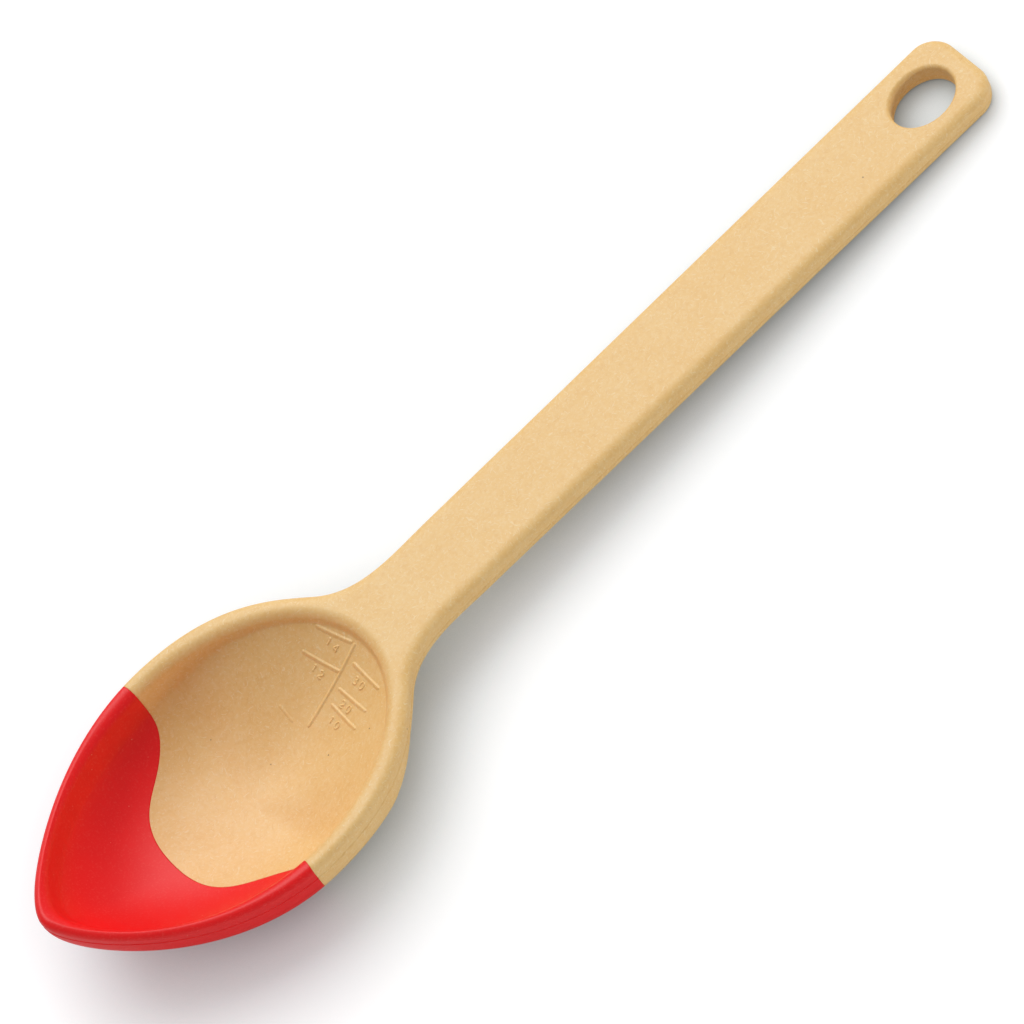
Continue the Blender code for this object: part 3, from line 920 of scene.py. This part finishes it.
def blendColour(tree, share, first, second):
    node = tree.nodes.new("ShaderNodeMix")
    node.data_type = "RGBA"
    feed(tree, node.inputs["Factor"], share)
    feed(tree, node.inputs["A"], (*first, 1) if isinstance(first, tuple) else first)
    feed(tree, node.inputs["B"], (*second, 1) if isinstance(second, tuple) else second)
    return next(socket for socket in node.outputs if socket.type == "RGBA")


# place on the object in millimetres, shifted so that no two layers fall together
def placeMm(tree, shift=0.0):
    where = tree.nodes.new("ShaderNodeTexCoord").outputs["Object"]
    node = tree.nodes.new("ShaderNodeVectorMath")
    node.operation = "MULTIPLY_ADD"
    feed(tree, node.inputs[0], where)
    node.inputs[1].default_value = (1 / metresPerMm,) * 3
    node.inputs[2].default_value = (shift, shift * 1.7, shift * 0.6)
    return node.outputs["Vector"]


def noise(tree, place, size, detail=2.0):
    node = tree.nodes.new("ShaderNodeTexNoise")
    node.inputs["Scale"].default_value = 1 / size
    node.inputs["Detail"].default_value = detail
    feed(tree, node.inputs["Vector"], place)
    return node.outputs["Fac"]


def ramp(tree, value, low, high):
    node = tree.nodes.new("ShaderNodeMapRange")
    node.interpolation_type = "SMOOTHSTEP"
    feed(tree, node.inputs["Value"], value)
    node.inputs["From Min"].default_value = low
    node.inputs["From Max"].default_value = high
    return node.outputs["Result"]


# short straight fibres, one to a cell, each lying its own way: 1 inside a fibre, 0 outside
def fibres(tree, shift, cell, length, width):
    bend = tree.nodes.new("ShaderNodeTexNoise")
    bend.inputs["Scale"].default_value = 1 / cell
    bend.inputs["Detail"].default_value = 0
    straightPlace = placeMm(tree, shift)
    feed(tree, bend.inputs["Vector"], straightPlace)
    aside = vectorCalc(tree, "SUBTRACT", bend.outputs["Color"], (0.5, 0.5, 0.5))
    aside = vectorCalc(tree, "MULTIPLY", aside, (woodFibre["fibreBend"] * cell,) * 3)
    place = vectorCalc(tree, "SCALE", vectorCalc(tree, "ADD", straightPlace, aside))
    place.node.inputs["Scale"].default_value = 1 / cell
    cells = tree.nodes.new("ShaderNodeTexVoronoi")
    cells.inputs["Scale"].default_value = 1
    feed(tree, cells.inputs["Vector"], place)
    flat = (1, 1, woodFibre["fibreHeight"])
    offset = vectorCalc(tree, "SUBTRACT", place, cells.outputs["Position"])
    offset = vectorCalc(tree, "MULTIPLY", offset, flat)
    lean = vectorCalc(tree, "SUBTRACT", cells.outputs["Color"], (0.5, 0.5, 0.5))
    way = vectorCalc(tree, "NORMALIZE", vectorCalc(tree, "MULTIPLY", lean, flat))
    along = vectorCalc(tree, "DOT_PRODUCT", offset, way)
    square = vectorCalc(tree, "DOT_PRODUCT", offset, offset)
    aside = calc(tree, "SUBTRACT", square, calc(tree, "MULTIPLY", along, along))
    away = calc(tree, "SQRT", calc(tree, "MAXIMUM", aside, 0.0))
    halfLength, halfWidth = length / cell / 2, width / cell / 2
    fullLength, fullWidth = woodFibre["fibreSoftFrom"]
    inLength = ramp(tree, calc(tree, "ABSOLUTE", along), halfLength, halfLength * fullLength)
    inWidth = ramp(tree, away, halfWidth, halfWidth * fullWidth)
    return calc(tree, "MULTIPLY", inLength, inWidth)


# small round specks, in about the given share of the cells
def specks(tree, shift, cell, radius, share):
    place = placeMm(tree, shift)
    cells = tree.nodes.new("ShaderNodeTexVoronoi")
    cells.inputs["Scale"].default_value = 1 / cell
    feed(tree, cells.inputs["Vector"], place)
    parts = tree.nodes.new("ShaderNodeSeparateColor")
    feed(tree, parts.inputs["Color"], cells.outputs["Color"])
    chosen = calc(tree, "LESS_THAN", parts.outputs["Red"], share)
    inside = ramp(tree, cells.outputs["Distance"], radius / cell, radius / cell * 0.5)
    return calc(tree, "MULTIPLY", chosen, inside)


def fineBump(tree, shader, height, distanceMm):
    bump = tree.nodes.new("ShaderNodeBump")
    bump.inputs["Strength"].default_value = 1.0
    bump.inputs["Distance"].default_value = distanceMm * metresPerMm
    feed(tree, bump.inputs["Height"], height)
    tree.links.new(bump.outputs["Normal"], shader.inputs["Normal"])


# fine grain in the shine, about the finish's own roughness; gives the grain for the bump
def roughGrain(tree, shader, look, shift, detail):
    grain = noise(tree, placeMm(tree, shift), look["grainSize"], detail)
    spread = look["grainRoughness"]
    roughness = calc(tree, "MULTIPLY_ADD", grain, spread, look["roughness"] - spread / 2)
    tree.links.new(roughness, shader.inputs["Roughness"])
    return grain


def woodFibreMaterial():
    look = woodFibre
    material, tree, shader = newMaterial("woodFibrePlastic")
    cloud = ramp(tree, noise(tree, placeMm(tree, 3.0), look["cloudSize"], 3.0), *look["cloudBand"])
    colour = blendColour(tree, cloud, look["base"], look["cloud"])
    for tint, shift, size, begins, strength in look["mottles"]:
        mottle = ramp(tree, noise(tree, placeMm(tree, shift), size, 3.0), begins, look["mottleFull"])
        colour = blendColour(tree, calc(tree, "MULTIPLY", mottle, strength), colour, look[tint])
    paleFibres = None
    for shift, cell, length, width, strength in look["paleFibres"]:
        layer = calc(tree, "MULTIPLY", fibres(tree, shift, cell, length, width), strength)
        paleFibres = layer if paleFibres is None else calc(tree, "MAXIMUM", paleFibres, layer)
    colour = blendColour(tree, paleFibres, colour, look["pale"])
    for shift, cell, length, width, strength in look["brownFibres"]:
        layer = calc(tree, "MULTIPLY", fibres(tree, shift, cell, length, width), strength)
        colour = blendColour(tree, layer, colour, look["brown"])
    speck = calc(tree, "MULTIPLY", specks(tree, *look["specks"]), look["speckStrength"])
    colour = blendColour(tree, speck, colour, look["speck"])
    tree.links.new(colour, shader.inputs["Base Color"])
    grain = roughGrain(tree, shader, look, 83.0, 2.0)
    shader.inputs["Specular IOR Level"].default_value = look["specular"]
    proud = calc(tree, "ADD", grain, calc(tree, "MULTIPLY", paleFibres, look["fibreProud"]))
    fineBump(tree, shader, proud, look["bumpMm"])
    return material


def redSiliconeMaterial():
    look = redSilicone
    material, tree, shader = newMaterial("redSilicone")
    cloud = ramp(tree, noise(tree, placeMm(tree, 5.0), look["cloudSize"], 1.0), *look["cloudBand"])
    colour = blendColour(tree, cloud, look["base"], look["deep"])
    bloom = ramp(tree, noise(tree, placeMm(tree, 23.0), look["bloomSize"], 4.0), *look["bloomBand"])
    bloom = calc(tree, "MULTIPLY", bloom, look["bloomStrength"])
    colour = blendColour(tree, bloom, colour, look["bloom"])
    fleck = calc(tree, "MULTIPLY", specks(tree, *look["flecks"]), look["fleckStrength"])
    colour = blendColour(tree, fleck, colour, look["fleck"])
    tree.links.new(colour, shader.inputs["Base Color"])
    grain = roughGrain(tree, shader, look, 31.0, 3.0)
    shader.inputs["Specular IOR Level"].default_value = look["specular"]
    fineBump(tree, shader, grain, look["bumpMm"])
    return material


woodFibrePlastic = woodFibreMaterial()
for piece in (handleAndBowl, volumeLines, volumeNumbers):
    piece.data.materials.append(woodFibrePlastic)
softTip.data.materials.append(redSiliconeMaterial())
print("plastic and silicone finished")

# Table, lamps and camera
stage = {
    "floorSize": 8.0,
    "floorSeen": (0.65, 0.65, 0.65),
    "floorPaintedShade": (0.22, 0.355, 0.43),  # painted shade: the floor's colour seen close under the object, tinted against the red light from it
    "paintedShadeReach": 0.036,
    "floorLit": (0.92, 0.92, 0.92),
    "floorGlow": 0.56,
    "worldLight": 0.32,
}
# the two fills are low strips that light the outer sides and leave the far wall of the bowl in shade
lamps = {
    "softKey": {
        "way": (0.22, 0.65, 0.95),
        "distance": 1.8,
        "size": (1.8, 1.8),
        "power": 28.4,
        "sheen": True,
    },
    "sideFill": {
        "way": (1.0, -0.64, 0.08),
        "distance": 1.8,
        "size": (0.7, 0.15),
        "power": 7.4,
        "sheen": False,
    },
    "tipFill": {
        "way": (-0.75, -0.7, 0.08),
        "distance": 1.8,
        "size": (0.7, 0.15),
        "power": 5.0,
        "sheen": False,
    },
}


def whiteFloor():
    mesh = bpy.data.meshes.new("table")
    half = stage["floorSize"] / 2
    corners = [(-half, -half, 0), (half, -half, 0), (half, half, 0), (-half, half, 0)]
    mesh.from_pydata(corners, [], [(0, 1, 2, 3)])
    floor = bpy.data.objects.new("table", mesh)
    bpy.context.scene.collection.objects.link(floor)
    material, tree, shader = newMaterial("whiteTable")
    rays = tree.nodes.new("ShaderNodeLightPath")
    seen = calc(tree, "MAXIMUM", rays.outputs["Is Camera Ray"], rays.outputs["Is Glossy Ray"])
    # painted shadow: by ambient occlusion, the camera-seen floor turns from its even colour to the
    # painted shade colour close under the object
    under = tree.nodes.new("ShaderNodeAmbientOcclusion")
    under.inputs["Distance"].default_value = stage["paintedShadeReach"]
    clear = under.outputs["AO"]
    shown = blendColour(tree, clear, stage["floorPaintedShade"], stage["floorSeen"])
    tree.links.new(blendColour(tree, seen, stage["floorLit"], shown), shader.inputs["Base Color"])
    shader.inputs["Emission Color"].default_value = (1, 1, 1, 1)
    # painted shadow: the camera-seen glow fades by ambient occlusion close under the object
    glow = calc(tree, "MULTIPLY", clear, rays.outputs["Is Camera Ray"])
    glow = calc(tree, "MULTIPLY", glow, stage["floorGlow"])
    tree.links.new(glow, shader.inputs["Emission Strength"])
    shader.inputs["Roughness"].default_value = 1.0
    shader.inputs["Specular IOR Level"].default_value = 0.0
    mesh.materials.append(material)


def whiteWorld():
    world = bpy.data.worlds.new("studio")
    bpy.context.scene.world = world
    world.use_nodes = True
    tree = world.node_tree
    background = tree.nodes["Background"]
    background.inputs["Color"].default_value = (1, 1, 1, 1)
    rays = tree.nodes.new("ShaderNodeLightPath")
    seen = calc(tree, "MAXIMUM", rays.outputs["Is Camera Ray"], rays.outputs["Is Transmission Ray"])
    strength = calc(tree, "MULTIPLY_ADD", seen, 1 - stage["worldLight"], stage["worldLight"])
    tree.links.new(strength, background.inputs["Strength"])


def areaLamp(name, lamp):
    light = bpy.data.lights.new(name, "AREA")
    light.shape = "RECTANGLE"
    light.size, light.size_y = lamp["size"]
    light.energy = lamp["power"]
    made = bpy.data.objects.new(name, light)
    bpy.context.scene.collection.objects.link(made)
    way = Vector(lamp["way"]).normalized()
    made.location = way * lamp["distance"]
    made.rotation_euler = way.to_track_quat("Z", "Y").to_euler()
    made.visible_glossy = lamp["sheen"]


whiteFloor()
whiteWorld()
for name, lamp in lamps.items():
    areaLamp(name, lamp)

# Where the lens is and what it aims at, in millimetres by the laid-out spoon, and its roll
photoCamera = {
    "lens": 210.0,
    "place": (-25.6, -765.5, 1323.7),
    "aim": (160.24, -4.44, 0.0),
    "roll": math.radians(-32.07),
    "sensor": 36.0,
    "reach": 20.0,  # in metres
}


def addCamera():
    c = photoCamera
    lens = bpy.data.cameras.new("photoCamera")
    lens.lens = c["lens"]
    lens.sensor_width = c["sensor"]
    lens.clip_end = c["reach"]
    camera = bpy.data.objects.new("photoCamera", lens)
    bpy.context.scene.collection.objects.link(camera)
    forward = (Vector(c["aim"]) - Vector(c["place"])).normalized()
    level = forward.cross(Vector((0, 0, 1))).normalized()
    upright = level.cross(forward)
    right = level * math.cos(c["roll"]) + upright * math.sin(c["roll"])
    up = right.cross(forward)
    turn = Matrix((right, up, -forward)).transposed().to_4x4()
    turn.translation = Vector(c["place"]) * metresPerMm
    inMetres = Matrix.Translation(pose.translation * metresPerMm) @ pose.to_3x3().to_4x4()
    camera.matrix_world = inMetres @ turn
    bpy.context.scene.camera = camera


addCamera()
bpy.context.scene.view_settings.view_transform = "Standard"
print("table, lamps and camera placed")
